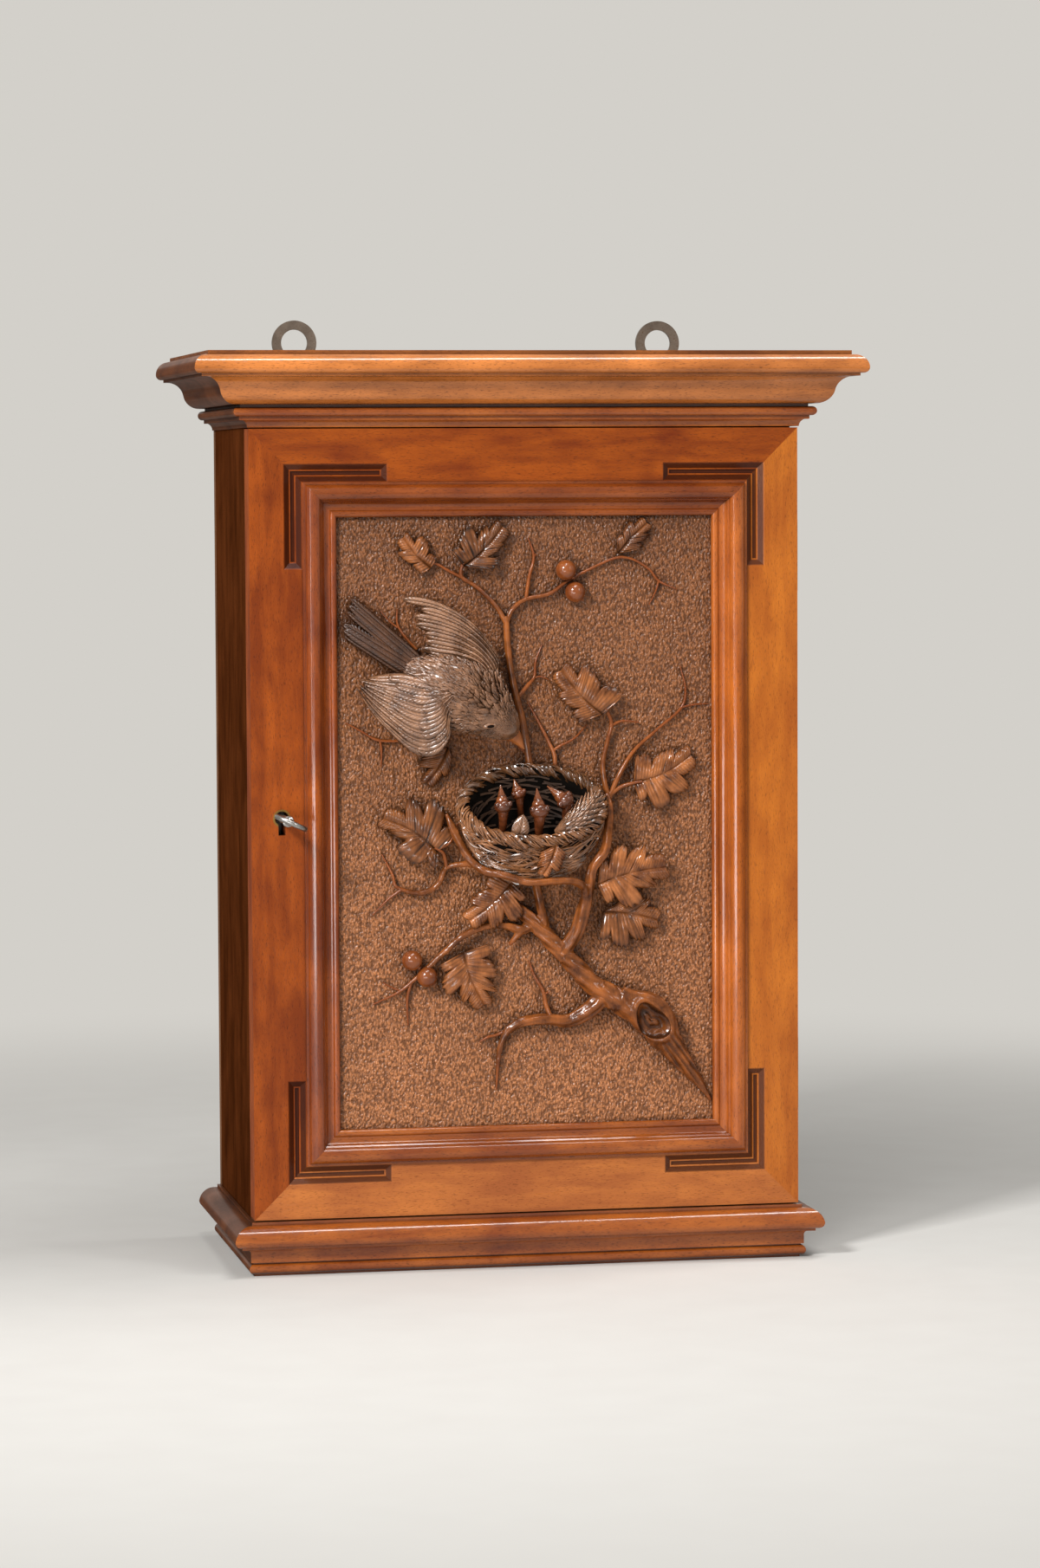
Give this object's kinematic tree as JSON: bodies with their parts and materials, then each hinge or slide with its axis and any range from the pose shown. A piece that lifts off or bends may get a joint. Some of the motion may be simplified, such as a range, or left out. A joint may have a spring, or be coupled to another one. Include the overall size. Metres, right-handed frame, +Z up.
{
  "type": "wall cabinet",
  "caption": "Small wooden wall cabinet with a moulded cornice and plinth, a locking door with a panel carved in high relief, shelves inside and hanging eyes at the back.",
  "frame": {"origin": "on the wall plane, under the middle of the cabinet's back, at the height of its underside", "axes": "+X to the right seen from the front, +Y into the wall, +Z up"},
  "size_m": [0.4008, 0.2051, 0.5672],
  "materials": {
    "case_wood": "shellac, satin gloss",
    "plain_wood": "plain, waxed",
    "moulding_wood": "shellac, gloss",
    "door_wood": "shellac, satin gloss",
    "panel_wood": "punched ground, waxed",
    "carved_wood": "carved, waxed",
    "dark_carved_wood": "carved, waxed",
    "dark_iron": "black, worn",
    "brass": "tarnished",
    "steel": "aged"
  },
  "bodies": {
    "cabinet": {"side_left": "case_wood", "side_right": "case_wood", "case_top": "case_wood", "case_bottom": "case_wood", "base_board": "plain_wood", "back_panel": "plain_wood", "shelf_lower": "plain_wood", "shelf_upper": "plain_wood", "cornice_lid": "moulding_wood", "cornice_front": "moulding_wood", "cornice_left": "moulding_wood", "cornice_right": "moulding_wood", "neck_front": "moulding_wood", "neck_left": "moulding_wood", "neck_right": "moulding_wood", "plinth_front": "moulding_wood", "plinth_left": "moulding_wood", "plinth_right": "moulding_wood", "foot_bead_front": "moulding_wood", "foot_bead_left": "moulding_wood", "foot_bead_right": "moulding_wood", "hanging_plate_left": "dark_iron", "hanging_plate_right": "dark_iron", "hanging_plate_screws": "dark_iron", "back_panel_screws": "dark_iron", "hinge_lower_case_leaf": "brass", "hinge_lower_pin": "brass", "hinge_upper_case_leaf": "brass", "hinge_upper_pin": "brass", "hinge_case_screws": "brass", "strike_plate": "brass", "strike_screws": "brass"},
    "door": {"door_stile_lock": "door_wood", "door_stile_hinge": "door_wood", "door_rail_top": "door_wood", "door_rail_bottom": "door_wood", "panel_moulding_top": "moulding_wood", "panel_moulding_bottom": "moulding_wood", "panel_moulding_left": "moulding_wood", "panel_moulding_right": "moulding_wood", "door_panel": "panel_wood", "panel_retaining_beads": "door_wood", "carved_branch": "carved_wood", "carved_leaves": "carved_wood", "carved_berries": "carved_wood", "carved_nest": "dark_carved_wood", "carved_nestlings": "carved_wood", "carved_bird": "dark_carved_wood", "hinge_lower_door_leaf": "brass", "hinge_upper_door_leaf": "brass", "hinge_door_screws": "brass", "keyhole_bush": "brass", "lock_case": "steel", "lock_cover": "steel", "lock_screws": "steel"},
    "bolt": {"lock_bolt": "steel"},
    "key": {"key": "steel"}
  },
  "joints": [
    {"name": "door_hinge", "type": "hinge", "parent": "cabinet", "child": "door", "pos_m": [0.1675, -0.1403, 0.2658], "axis": [0, 0, 1], "range_deg": [0, 180]},
    {"name": "key_turn", "type": "hinge", "parent": "door", "child": "key", "pos_m": [-0.147, -0.1586, 0.2704], "axis": [0, 1, 0], "range_deg": [0, 65]},
    {"name": "bolt_slide", "type": "slide", "parent": "door", "child": "bolt", "axis": [-1, 0, 0], "range_m": [0, 0.007]}
  ],
  "couplings": [
    {"joint": "bolt_slide", "follows": "key_turn", "m_per_rad": 0.00617}
  ]
}
